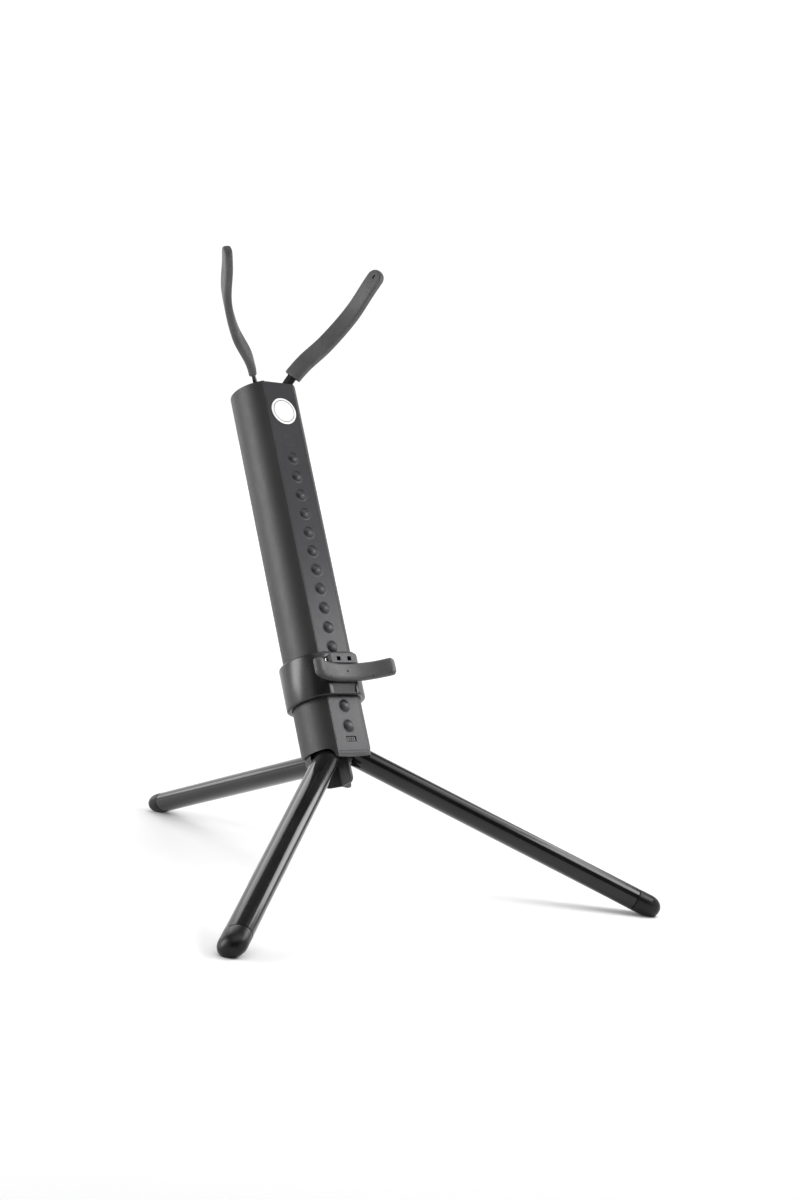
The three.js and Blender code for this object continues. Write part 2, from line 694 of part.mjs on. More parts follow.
function armStrip(side) {
  const strip = loft(armSweep(STRIP, 0, STRIP_END, side));
  const bore = barAlongY(ARM_PIN.radius + RUN, -ARM_PIN.half, ARM_PIN.half).translate(0, 0, ARM_PIVOT[2]);
  return cut(strip, toArm(bore, side));
}

function armSleeve(side) {
  const skin = loft(armSweep(SLEEVE, SLEEVE_START, SLEEVE_END, side, SLEEVE_TIP));
  const bore = {
    ...STRIP,
    halfWide: STRIP.halfWide + 1.5 * GAP,
    halfThick: STRIP.halfThick + 1.5 * GAP,
  };
  return cut(skin, loft(armSweep(bore, BORE_START, BORE_END, side)));
}

for (const [name, side] of Object.entries({ left: -1, right: 1 })) {
  place(stem, `arm_strip_${name}`, armStrip(side), COLOURS.steel, 0.35, 0.9);
  place(stem, `arm_sleeve_${name}`, armSleeve(side), COLOURS.rubber, 0.75);
}

// The origin is on the floor, in the middle of the stand's footprint.
stand.updateMatrixWorld(true);
const extent = new THREE.Box3().setFromObject(stand, true);
stem.position.y -= (extent.min.y + extent.max.y) / 2;

export default stand;
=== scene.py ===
"""A folding saxophone stand: a leaning D-section stem, three gloss black tube legs, a sliding collar
with a rubber yoke, and two rubber-covered arms.

Shapes are drawn in millimetres in the stem's own frame, as in the CAD: Z up along the stem, the flat
front towards -Y and X to the right. STEM takes them to the row frame in metres. Each leg has a frame
of its own, with Z along the leg and X along its pin.
"""
import json
import math

import bmesh
import bpy
from mathutils import Matrix, Vector, noise


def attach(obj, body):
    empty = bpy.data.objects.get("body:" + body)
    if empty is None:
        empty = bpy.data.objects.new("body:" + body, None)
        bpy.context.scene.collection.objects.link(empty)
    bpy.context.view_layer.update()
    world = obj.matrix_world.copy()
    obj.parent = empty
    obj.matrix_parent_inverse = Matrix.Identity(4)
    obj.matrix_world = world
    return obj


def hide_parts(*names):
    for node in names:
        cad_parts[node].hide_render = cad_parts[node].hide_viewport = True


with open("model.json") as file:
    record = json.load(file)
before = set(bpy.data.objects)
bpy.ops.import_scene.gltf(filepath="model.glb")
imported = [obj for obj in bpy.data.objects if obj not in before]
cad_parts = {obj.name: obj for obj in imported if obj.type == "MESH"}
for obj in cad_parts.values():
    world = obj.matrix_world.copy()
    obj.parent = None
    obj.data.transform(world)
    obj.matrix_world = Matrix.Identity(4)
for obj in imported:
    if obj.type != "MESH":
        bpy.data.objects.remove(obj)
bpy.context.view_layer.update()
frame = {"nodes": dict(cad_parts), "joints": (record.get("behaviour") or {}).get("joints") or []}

MM = 0.001

# Sizes in millimetres and angles in degrees. A pair named HALF holds half sizes, across and along, and
# a box is its lowest and its highest corner.

# Stem section, and the lower rim's side-view cut
STEM_LENGTH = 381
STEM_RADIUS = 32.2
INNER_RADIUS = 30
FACE = 27.2
FACE_CORNER = 3.5
EDGE_STEPS = 2
LIP = 16.9
RAIL_HALF = 13.5
RAIL_BACK = 22.5
LEDGE_BACK = 24.3
RAIL_STEP = 0.6
RIM_FRONT = 25.4
RIM_RISE = 7.4
RIM_SIDE = 9.5
RIM_REAR = 24
RIM_STEP = 19.5
RIM_CORNER = 3.5

# Rack, window, badge and latch
RACK_HALF = 16.6
RACK_BACK = 24.6
RACK_LIP = 1.4
DOME_COUNT = 15
DOME_PITCH = 19.34
DOME_LOWEST = 28.7
DOME_RADIUS = 5.9
DOME_HEIGHT = 2.6
DOME_ROOT = 0.8
DOME_SKIRT = 1.2
WINDOW_WIDTH = 11.3
WINDOW_HEIGHT = 5.4
WINDOW_LEVEL = 16.2
BADGE_RADIUS = 13.8
BADGE_LEVEL = 349.4
BADGE_GAP = 0.3
BADGE_RING = (11, 11.8)
LEAF_BOX = ((-4.2, -23.4, 12.2), (4.2, -22.6, 31.6))
NUB_HALF = (5.2, 2.2)
NUB_BACK = 22.8
NUB_FRONT = 26.2
RIB_PITCH = 2.4
RIB_HALF = (0.55, 1.9)

# Legs
HINGE_OUT = 15
HINGE_LEVEL = 7.7
LEG_HALF_WIDE = 13.4
LEG_HALF_DEEP = 10.1
LEG_WALL = 1
LEG_STEPS = 72
LEG_START = 3
CAP_SEAM = 293
CAP_ROUND = 305
CAP_END = 317.5

# Collar and yoke
COLLAR_LOW = 57.5
COLLAR_HIGH = 99.5
COLLAR_RADIUS = 37.2
COLLAR_FACE = 33.2
LEDGE_FRONT = 40.9
LEDGE_LEVEL = 89.95
LEDGE_HALF = (15, 4.55)
POCKET_OUT = 6
POCKET_HALF_WIDE = 2
POCKET_LEVELS = (87.6, 91.6)
POCKET_BACK = 35.9
PANEL_HALF_WIDE = 13.2
# The panel's depth at each level
PANEL_DEPTHS = ((59.2, 1.9), (68.2, 0.3))
CHANNEL_HALF_WIDE = 7.2
CHANNEL_FRONT = 30.2
SPRING_HALF = (4.6, 13.4)
SPRING_FRONT = 31.4
CLIP_OUT = 16.2
CLIP_HALF = (0.6, 1.8)
YOKE_LEVEL = 76.5
YOKE_RADIUS = 56.7
YOKE_CENTRE = 94.9
YOKE_SWEEP = 46
PAD_THICK = 4.6
PAD_TALL = 8.1
PAD_CORNER = 3
PAD_END = 4
PAD_SWELL = 0.18
SEAT_BOX = ((-14.3, -38.8, 71.7), (14.3, -30, 81.3))
SLIT_SWEEP = 27
SLIT_HALF_WIDE = 0.35
SLIT_TALL = 2.4

# Arms. The route is the right one's, and the left one mirrors it. Starts and ends are shares of its length.
ARM_ROUTE = [
    (12.2, -10.3, 361),
    (12.2, -10.3, 368),
    (15.2, -12.9, 378),
    (19.6, -17.5, 386.7),
    (31.5, -31, 401),
    (53, -47, 419),
    (73, -72, 441.5),
    (83, -96.5, 460.5),
    (90, -111.5, 472.5),
]
ARM_FOLD = 41
ARM_FREED = 16
STRIP_HALF_WIDE = 4.75
STRIP_HALF_THICK = 1.5
STRIP_CORNER = 0.5
BORE_PLAY = 0.25
SLEEVE_HALF_WIDE = 8.8
SLEEVE_HALF_THICK = 3.85
SLEEVE_CORNER = 2.6
SLEEVE_START = 0.21
SLEEVE_END = 0.935
STRIP_END = 0.92
BORE_START = 0.14
SLOT_HALF = (0.9, 2.3)

# ------------------------------------------------------------------------------------------------
# Frames, from the CAD's own joints

JOINTS = {joint["name"]: joint for joint in frame["joints"]}
SLIDE_AXIS = Vector(JOINTS["support_slide"]["axis"])
TURN = Matrix.Rotation(-math.atan2(SLIDE_AXIS.y, SLIDE_AXIS.z), 4, "X")
REAR_PIN = Vector(JOINTS["leg_rear_fold"]["pos_m"])
STEM_FOOT = REAR_PIN - TURN @ Vector((0, HINGE_OUT * MM, HINGE_LEVEL * MM))
STEM = Matrix.Translation(STEM_FOOT) @ TURN @ Matrix.Scale(MM, 4)


def leg_frame(name):
    """A leg's own frame at rest: the origin on its pin, Z along the leg and X along the pin."""
    joint = JOINTS[f"leg_{name}_fold"]
    across = TURN.inverted() @ Vector(joint["axis"])
    bearing = math.atan2(across.y, across.x)
    spread = math.radians(joint["range_deg"][1])
    hinge = Matrix.Translation((0, -HINGE_OUT, HINGE_LEVEL))
    return STEM @ Matrix.Rotation(bearing, 4, "Z") @ hinge @ Matrix.Rotation(math.pi - spread, 4, "X")


# ------------------------------------------------------------------------------------------------
# Materials


def node_material(name, colour, roughness, metallic=0.0):
    """A material, with what the functions below need to build on it."""
    material = bpy.data.materials.new(name)
    material.use_nodes = True
    nodes, links = material.node_tree.nodes, material.node_tree.links
    shader = nodes["Principled BSDF"]
    shader.inputs["Base Color"].default_value = (*colour, 1)
    shader.inputs["Roughness"].default_value = roughness
    shader.inputs["Metallic"].default_value = metallic
    place = nodes.new("ShaderNodeTexCoord").outputs["Object"]
    return material, nodes, links, shader, place


def noise_texture(nodes, links, place, scale, detail=3.0, stretch=None):
    """Noise at a scale counted per metre, drawn out where a stretch is given."""
    texture = nodes.new("ShaderNodeTexNoise")
    texture.inputs["Scale"].default_value = scale
    texture.inputs["Detail"].default_value = detail
    if stretch:
        mapping = nodes.new("ShaderNodeMapping")
        mapping.inputs["Scale"].default_value = stretch
        links.new(place, mapping.inputs["Vector"])
        place = mapping.outputs["Vector"]
    links.new(place, texture.inputs["Vector"])
    return texture.outputs["Fac"]


def vary_colour(nodes, links, shader, factor, dark, light):
    """Colours between dark and light, by a noise."""
    ramp = nodes.new("ShaderNodeValToRGB")
    ramp.color_ramp.elements[0].position = 0.35
    ramp.color_ramp.elements[0].color = (*dark, 1)
    ramp.color_ramp.elements[1].position = 0.65
    ramp.color_ramp.elements[1].color = (*light, 1)
    links.new(factor, ramp.inputs["Fac"])
    links.new(ramp.outputs["Color"], shader.inputs["Base Color"])


def vary_roughness(nodes, links, shader, factor, low, high):
    """Roughness between low and high, by a noise."""
    spread = nodes.new("ShaderNodeMapRange")
    spread.inputs["From Min"].default_value = 0.3
    spread.inputs["From Max"].default_value = 0.7
    spread.inputs["To Min"].default_value = low
    spread.inputs["To Max"].default_value = high
    links.new(factor, spread.inputs["Value"])
    links.new(spread.outputs["Result"], shader.inputs["Roughness"])


def add_bump(nodes, links, shader, factor, strength, depth):
    """A relief of the given depth, in metres, by a noise."""
    bump = nodes.new("ShaderNodeBump")
    bump.inputs["Strength"].default_value = strength
    bump.inputs["Distance"].default_value = depth
    links.new(factor, bump.inputs["Height"])
    links.new(bump.outputs["Normal"], shader.inputs["Normal"])


def plastic(name, dark, light, rough, grain, strength, depth=0.0001, blotch=35, specular=0.5):
    """Moulded plastic or rubber: cloudy colour and sheen, and a fine moulded grain."""
    material, nodes, links, shader, place = node_material(name, light, rough[0])
    shader.inputs["Specular IOR Level"].default_value = specular
    vary_colour(nodes, links, shader, noise_texture(nodes, links, place, blotch), dark, light)
    vary_roughness(nodes, links, shader, noise_texture(nodes, links, place, blotch * 6), *rough)
    add_bump(nodes, links, shader, noise_texture(nodes, links, place, grain, 2), strength, depth)
    return material


def enamel(name):
    """Gloss black enamel with a faint orange peel."""
    material, nodes, links, shader, place = node_material(name, (0.006, 0.006, 0.007), 0.12)
    shader.inputs["Specular IOR Level"].default_value = 0.36
    vary_colour(nodes, links, shader, noise_texture(nodes, links, place, 20), (0.004,) * 3, (0.009,) * 3)
    vary_roughness(nodes, links, shader, noise_texture(nodes, links, place, 180), 0.1, 0.16)
    add_bump(nodes, links, shader, noise_texture(nodes, links, place, 110, 1), 0.03, 0.0001)
    return material


def steel(name, dark, light, rough):
    """Drawn steel with fine lines along it."""
    material, nodes, links, shader, place = node_material(name, light, rough[0], 1.0)
    lines = noise_texture(nodes, links, place, 900, 2, (1, 1, 0.08))
    vary_colour(nodes, links, shader, lines, dark, light)
    vary_roughness(nodes, links, shader, noise_texture(nodes, links, place, 120), *rough)
    add_bump(nodes, links, shader, lines, 0.15, 0.00005)
    return material


# Name, darkest and lightest colour, range of roughness, scale of the grain and its strength
BODY = plastic("body_plastic", (0.008,) * 3, (0.011, 0.0105, 0.01), (0.46, 0.52), 2600, 0.25)
COLLAR = plastic("collar_plastic", (0.005,) * 3, (0.007,) * 3, (0.27, 0.3), 2600, 0.04)
RACK = plastic("rack_plastic", (0.008, 0.008, 0.011), (0.011, 0.011, 0.015), (0.43, 0.47), 1500, 0.5)
# The edge material is painted lighter than the body, a painted highlight along rounded edges, on a smoother
# finish.
EDGE_HIGHLIGHT = plastic("edge_painted_highlight", (0.045,) * 3, (0.06, 0.06, 0.063), (0.36, 0.42), 2600, 0.1)
INNER = plastic("inner_plastic", (0.01,) * 3, (0.015,) * 3, (0.4, 0.5), 2000, 0.3)
RUBBER = plastic("pad_rubber", (0.046,) * 3, (0.06, 0.058, 0.059), (0.5, 0.6), 1300, 0.05, blotch=60)
FOOT = plastic("foot_rubber", (0.003,) * 3, (0.005,) * 3, (0.3, 0.4), 1700, 0.15, specular=0.25)
LEG = enamel("leg_enamel")
DARK_STEEL = steel("dark_steel", (0.03,) * 3, (0.06,) * 3, (0.35, 0.5))
STEEL = steel("plain_steel", (0.45,) * 3, (0.62,) * 3, (0.22, 0.34))
BADGE = plastic("badge_print", (0.84,) * 3, (0.88,) * 3, (0.22, 0.3), 900, 0.05)
INK = plastic("badge_ring", (0.12,) * 3, (0.16,) * 3, (0.25, 0.33), 900, 0.05)

# ------------------------------------------------------------------------------------------------
# Mesh helpers. A part is a pair of points and faces.


def loft(rings, closed=False):
    """Quads between rings of equally many points. The ends are filled or, if closed, joined."""
    count = len(rings[0])
    points = [point for ring in rings for point in ring]
    total = len(points)
    faces = []
    for first in range(0, total if closed else total - count, count):
        after = (first + count) % total
        for j in range(count):
            k = (j + 1) % count
            faces.append((first + j, first + k, after + k, after + j))
    if not closed:
        faces.append(tuple(reversed(range(count))))
        faces.append(tuple(range(total - count, total)))
    return points, faces


def oval(half_x, half_y, level, steps):
    """A level ring, right-handed from +X."""
    angles = [2 * math.pi * j / steps for j in range(steps)]
    return [(half_x * math.cos(a), half_y * math.sin(a), level) for a in angles]


def lathe(profile, steps):
    """A (radius, height) profile, turned about Z. It starts and ends on the axis."""
    points, faces = loft([oval(radius, radius, height, steps) for radius, height in profile[1:-1]])
    faces = faces[:-2]
    last = len(points) - steps
    points += [(0, 0, profile[0][1]), (0, 0, profile[-1][1])]
    for j in range(steps):
        k = (j + 1) % steps
        faces.append((len(points) - 2, k, j))
        faces.append((len(points) - 1, last + j, last + k))
    return points, faces


def moved(part, matrix):
    """A copy of a part, moved."""
    points, faces = part
    return [tuple(matrix @ Vector(point)) for point in points], faces


def on_front(out, level):
    """The place of something round that faces forwards from the stem's plane x = 0."""
    return Matrix.Translation((0, -out, level)) @ Matrix.Rotation(math.pi / 2, 4, "X")


def box_part(low, high):
    """A box between its lowest and highest corners."""
    corners = [(high[0], low[1]), (high[0], high[1]), (low[0], high[1]), (low[0], low[1])]
    return loft([[(x, y, z) for x, y in corners] for z in (low[2], high[2])])


def front_loft(outline, stations, across, level):
    """An (x, z) outline carried along Y. A station is a y and the outline's scale there."""
    rings = []
    for y, scale in stations:
        rings.append([(x * scale + across, y, z * scale + level) for x, z in outline])
    return loft(rings)


def rounded_ring(half_across, half_along, corner, steps):
    """A rectangle with rounded corners as (across, along) pairs, right-handed."""
    ring = []
    for quarter, (sign_x, sign_y) in enumerate([(1, 1), (-1, 1), (-1, -1), (1, -1)]):
        for i in range(steps + 1):
            angle = math.pi / 2 * (quarter + i / steps)
            across = sign_x * (half_across - corner) + corner * math.cos(angle)
            ring.append((across, sign_y * (half_along - corner) + corner * math.sin(angle)))
    return ring


def mesh_object(name, parts, matrix, materials):
    """Welds the parts into one object, with its faces turned outwards. The parts take the materials
    in turn, and any parts left over take the last one."""
    mesh = bpy.data.meshes.new(name)
    builder = bmesh.new()
    for order, (points, faces) in enumerate(parts):
        vertices = [builder.verts.new(matrix @ Vector(point)) for point in points]
        for face in faces:
            made = builder.faces.new([vertices[i] for i in face])
            made.material_index = max(min(order, len(materials) - 1), 0)
            made.smooth = True
    bmesh.ops.remove_doubles(builder, verts=builder.verts, dist=1e-6)
    bmesh.ops.recalc_face_normals(builder, faces=builder.faces)
    builder.to_mesh(mesh)
    builder.free()
    piece = bpy.data.objects.new(name, mesh)
    bpy.context.scene.collection.objects.link(piece)
    for material in materials:
        mesh.materials.append(material)
    return piece


def carve(piece, part, operation="DIFFERENCE"):
    """Cuts a part, drawn in the stem's frame, out of a piece, or joins it to the piece."""
    cutter = mesh_object("cutter", [part], STEM, [])
    modifier = piece.modifiers.new("carve", "BOOLEAN")
    modifier.operation = operation
    modifier.solver = "EXACT"
    modifier.object = cutter
    graph = bpy.context.evaluated_depsgraph_get()
    carved = bpy.data.meshes.new_from_object(piece.evaluated_get(graph))
    piece.modifiers.clear()
    piece.data = carved
    bpy.data.objects.remove(cutter)


def soften(piece, width, segments=3, angle=35):
    """Rounds a piece's sharp edges by width, in millimetres."""
    bevel = piece.modifiers.new("edges", "BEVEL")
    bevel.width = width * MM
    bevel.segments = segments
    bevel.limit_method = "ANGLE"
    bevel.angle_limit = math.radians(angle)
    bevel.harden_normals = True


def finish_piece(piece, body, nodes, sharp=None):
    """Puts a piece on its body and the CAD nodes that it stands for."""
    for polygon in piece.data.polygons:
        polygon.use_smooth = True
    if sharp:
        piece.data.set_sharp_from_angle(angle=math.radians(sharp))
    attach(piece, body)
    if nodes:
        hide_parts(*nodes)


def repaint(node, material, width=0.0):
    """Keeps a CAD node, with a better material and, where asked, rounded edges."""
    piece = frame["nodes"][node]
    piece.data.materials.clear()
    piece.data.materials.append(material)
    if width:
        soften(piece, width, 2)


# ------------------------------------------------------------------------------------------------
# Stem


def d_corner(radius, face, corner):
    """Centre of the rounded corner between a flat front and a circle, and where it meets the circle."""
    across = math.sqrt((radius - corner) ** 2 - (face - corner) ** 2)
    centre = (across, corner - face)
    return centre, math.atan2(centre[1], centre[0])


def arc(centre, radius, start, end, steps):
    """Points on an arc, both ends included."""
    angles = [start + (end - start) * i / steps for i in range(steps + 1)]
    return [(centre[0] + radius * math.cos(a), centre[1] + radius * math.sin(a)) for a in angles]


def d_outline(radius, face, corner, steps=72):
    """A circle with a flat front and rounded corners, right-handed from the right front corner."""
    centre, meeting = d_corner(radius, face, corner)
    right = arc(centre, corner, -math.pi / 2, meeting, 8)
    back = arc((0, 0), radius, meeting, math.pi - meeting, steps)[1:-1]
    left = [(-x, y) for x, y in reversed(right)]
    return right + back + left


def rim_level(y):
    """Height of the stem's lower rim: one side-view cut, along X."""
    if y <= -RIM_FRONT:
        return 0
    if y < RIM_RISE - RIM_FRONT:
        t = math.sqrt((y + RIM_FRONT) / RIM_RISE)
        return RIM_SIDE * (2 * t - t * t)
    if y < RIM_STEP - RIM_CORNER:
        return RIM_SIDE
    if y < RIM_STEP:
        t = 1 - math.sqrt((RIM_STEP - y) / RIM_CORNER)
        return RIM_SIDE + RIM_CORNER * t * t
    if y < RIM_STEP + RIM_CORNER:
        t = math.sqrt((y - RIM_STEP) / RIM_CORNER)
        return RIM_REAR - RIM_CORNER + RIM_CORNER * (2 * t - t * t)
    return RIM_REAR


def shell_paths():
    """The stem's outer and inner walls from one lip of the front opening to the other, point by point."""
    centre, meeting = d_corner(STEM_RADIUS, FACE, FACE_CORNER)
    lip_angle = -math.acos((LIP - centre[0]) / FACE_CORNER)
    outer = arc(centre, FACE_CORNER, lip_angle, meeting, 6)
    # The lip's ledge and rail, with as many points as the outer corner
    inner = [
        (LIP, -LEDGE_BACK),
        ((LIP + RAIL_HALF) / 2, -LEDGE_BACK),
        (RAIL_HALF, -LEDGE_BACK),
        (RAIL_HALF, -(LEDGE_BACK + RAIL_BACK) / 2),
        (RAIL_HALF, -RAIL_BACK),
        (RAIL_HALF + RAIL_STEP, -RAIL_BACK),
        (RAIL_HALF + 2 * RAIL_STEP, -RAIL_BACK),
    ]
    steps = 90
    angles = [meeting + (math.pi / 2 - meeting) * i / steps for i in range(1, steps + 1)]
    # Two close points keep the rim's step upright
    step_angle, step_width = math.asin(RIM_STEP / STEM_RADIUS), 0.002
    angles += [step_angle - step_width, step_angle + step_width]
    for angle in sorted(angles):
        reach = INNER_RADIUS
        if angle < 0:
            reach = min(reach, RAIL_BACK / -math.sin(angle))
        outer.append((STEM_RADIUS * math.cos(angle), STEM_RADIUS * math.sin(angle)))
        inner.append((reach * math.cos(angle), reach * math.sin(angle)))
    return [path + [(-x, y) for x, y in reversed(path[:-1])] for path in (outer, inner)]


def stem_shell():
    """The tube, open at the front for the rack. Its rounded front edges have a smoother finish and a
    lighter colour, a painted highlight.
    """
    paths = shell_paths()
    count = len(paths[0])
    points = []
    for path in paths:
        points += [(x, y, rim_level(y)) for x, y in path]
        points += [(x, y, STEM_LENGTH) for x, y in path]
    walls, edges = [], []
    outer_low, outer_high, inner_low, inner_high = [count * row for row in range(4)]
    for j in range(count - 1):
        wall = (outer_low + j, outer_low + j + 1, outer_high + j + 1, outer_high + j)
        # The outer walls at the front corners take the lighter edge colour, a painted highlight.
        on_edge = j < EDGE_STEPS or j >= count - 1 - EDGE_STEPS
        if on_edge:
            edges.append(wall)
        else:
            walls.append(wall)
        walls.append((inner_low + j, inner_high + j, inner_high + j + 1, inner_low + j + 1))
        walls.append((outer_high + j, outer_high + j + 1, inner_high + j + 1, inner_high + j))
        walls.append((outer_low + j, inner_low + j, inner_low + j + 1, outer_low + j + 1))
    for j in (0, count - 1):
        walls.append((outer_low + j, outer_high + j, inner_high + j, inner_low + j))
    piece = mesh_object("stem_shell_fine", [(points, walls), (points, edges)], STEM, [BODY, EDGE_HIGHLIGHT])
    soften(piece, 0.7, 3, 50)
    finish_piece(piece, "stem", ["stem_shell"])


def dome_part(level):
    """A dome of the rack, with a fine step round its foot."""
    curve = (DOME_RADIUS**2 + DOME_HEIGHT**2) / (2 * DOME_HEIGHT)
    sweep = math.asin(DOME_RADIUS / curve)
    skirt = DOME_RADIUS + DOME_SKIRT
    profile = [(0, -DOME_ROOT), (skirt, -DOME_ROOT), (skirt, -0.02), (DOME_RADIUS + 0.5, 0.05)]
    steps, reached = 12, 0.97
    for i in range(steps, 0, -1):
        angle = sweep * i / steps * reached
        profile.append((curve * math.sin(angle), DOME_HEIGHT - curve * (1 - math.cos(angle))))
    profile.append((0, DOME_HEIGHT))
    return moved(lathe(profile, 40), on_front(FACE, level))


def faint_ring(level):
    """The moulding mark of a dome that was left out, just proud of the face."""
    radius, width, root, rise = DOME_RADIUS - 0.6, 0.35, 0.3, 0.12
    profile = [(radius - width, 0), (radius, rise), (radius + width, 0)]
    profile += [(radius + width, -root), (radius - width, -root)]
    rings = [oval(reach, reach, height, 40) for reach, height in profile]
    return moved(loft(rings, closed=True), on_front(FACE, level))


def height_rack():
    """The strip let into the stem's front, with its window and its row of domes."""
    centre, _ = d_corner(STEM_RADIUS, FACE, FACE_CORNER)
    edge_angle = -math.acos((RACK_HALF - centre[0]) / FACE_CORNER)
    front = arc(centre, FACE_CORNER, edge_angle, -math.pi / 2, 2)
    front += [(x, -FACE) for x in (12, 8, 4, 0)]
    front += [(-x, y) for x, y in reversed(front[:-1])]
    # Levels up the strip, with how far the front steps back: a rounded lower lip, a fine groove above it
    # and a rounded top.
    levels = [(0, 1.3), (0.25, 0.7), (0.7, 0.25), (RACK_LIP, 0)]
    levels += [(4.5, 0), (4.7, 0.35), (5.1, 0.35), (5.3, 0)]
    levels += [(STEM_LENGTH - drop, back) for drop, back in ((1, 0), (0.5, 0.15), (0.15, 0.45), (0, 0.9))]
    rings = []
    for level, back in levels:
        ring = [(x, y + back, level) for x, y in front]
        rings.append([(RACK_HALF, -RACK_BACK, level)] + ring + [(-RACK_HALF, -RACK_BACK, level)])
    piece = mesh_object("height_rack_fine", [loft(rings)], STEM, [RACK, EDGE_HIGHLIGHT])
    # The lower lip takes the lighter edge colour, a painted highlight along the bottom edge.
    for polygon in piece.data.polygons:
        if (STEM.inverted() @ polygon.center).z < RACK_LIP:
            polygon.material_index = 1
    window = rounded_ring(WINDOW_WIDTH / 2, WINDOW_HEIGHT / 2, 0.5, 3)
    carve(piece, front_loft(window, [(-FACE - 2, 1), (-FACE + 5, 1)], 0, WINDOW_LEVEL))
    finish_piece(piece, "stem", ["height_rack"], 30)
    parts = [dome_part(DOME_LOWEST + k * DOME_PITCH) for k in range(DOME_COUNT)]
    parts.append(faint_ring(DOME_LOWEST + DOME_COUNT * DOME_PITCH))
    domes = mesh_object("rack_domes", parts, STEM, [RACK])
    finish_piece(domes, "stem", ["height_rack"], 50)


def badge():
    """A plain white disc with one thin ring."""
    back = BADGE_GAP
    front = back + 0.6
    profile = [(0, back), (BADGE_RADIUS, back), (BADGE_RADIUS, back + 0.35)]
    profile.append((BADGE_RADIUS - 0.3, back + 0.55))
    profile += [(reach, front) for reach in (BADGE_RING[1], BADGE_RING[0], 4, 0)]
    disc = moved(lathe(profile, 72), on_front(FACE, BADGE_LEVEL))
    piece = mesh_object("badge_fine", [disc], STEM, [BADGE, INK])
    middle = STEM @ Vector((0, -FACE - front, BADGE_LEVEL))
    for polygon in piece.data.polygons:
        reach = (polygon.center - middle).length / MM
        if BADGE_RING[0] < reach < BADGE_RING[1]:
            polygon.material_index = 1
    finish_piece(piece, "stem", ["badge_disc"], 40)


def latch():
    """The leaf with its thumb nub, ribbed across the window."""
    nub = rounded_ring(*NUB_HALF, 0.4, 2)
    stations = [(-NUB_BACK, 1), (-NUB_FRONT, 1), (-NUB_FRONT - 0.2, 0.96)]
    parts = [box_part(*LEAF_BOX), front_loft(nub, stations, 0, WINDOW_LEVEL)]
    for place in (-1.5, -0.5, 0.5, 1.5):
        low = (place * RIB_PITCH - RIB_HALF[0], -NUB_FRONT - 0.5, WINDOW_LEVEL - RIB_HALF[1])
        high = (place * RIB_PITCH + RIB_HALF[0], -NUB_FRONT - 0.1, WINDOW_LEVEL + RIB_HALF[1])
        parts.append(box_part(low, high))
    piece = mesh_object("latch_fine", parts, STEM, [INNER])
    finish_piece(piece, "latch", ["release_latch"], 30)


# ------------------------------------------------------------------------------------------------
# Legs


def leg_ring(inset, along):
    """A ring of the leg's section, set in from its surface."""
    return oval(LEG_HALF_WIDE - inset, LEG_HALF_DEEP - inset, along, LEG_STEPS)


def leg_tube(name):
    """A thin oval tube, open at both ends."""
    profile = [(0.35, LEG_START), (0, LEG_START + 0.35), (0, CAP_SEAM - 0.3), (0.3, CAP_SEAM)]
    profile += [(LEG_WALL, CAP_SEAM), (LEG_WALL, LEG_START)]
    tube = loft([leg_ring(inset, along) for inset, along in profile], closed=True)
    piece = mesh_object(f"leg_tube_{name}_fine", [tube], leg_frame(name), [LEG])
    finish_piece(piece, f"leg_{name}", [f"leg_tube_{name}"], 30)


def foot_cap(name):
    """A rubber end flush with the tube: a rounded nose, flattened where it stands on the floor."""
    # Insets and heights past the seam: the shank inside the tube, then the rounded shoulder
    shoulder = [(1.4, -10), (1.4, 0.5), (0.5, 0.5), (0.12, 0.65), (0, 1.1)]
    rings = [leg_ring(inset, CAP_SEAM + past) for inset, past in shoulder]
    nose = CAP_END - CAP_ROUND
    steps, tip, fullness = 18, 0.004, 0.9
    for i in range(steps + 1):
        angle = math.pi / 2 * i / steps
        shrink = max(math.cos(angle), tip) ** fullness
        along = CAP_ROUND + nose * math.sin(angle)
        rings.append(oval(LEG_HALF_WIDE * shrink, LEG_HALF_DEEP * shrink, along, LEG_STEPS))
    piece = mesh_object(f"foot_cap_{name}_fine", [loft(rings)], leg_frame(name), [FOOT])
    # Flattened a hair above the floor
    sole = 0.15 * MM
    for vertex in piece.data.vertices:
        vertex.co.z = max(vertex.co.z, sole)
    finish_piece(piece, f"leg_{name}", [f"foot_cap_{name}"], 40)


# ------------------------------------------------------------------------------------------------
# Collar and yoke


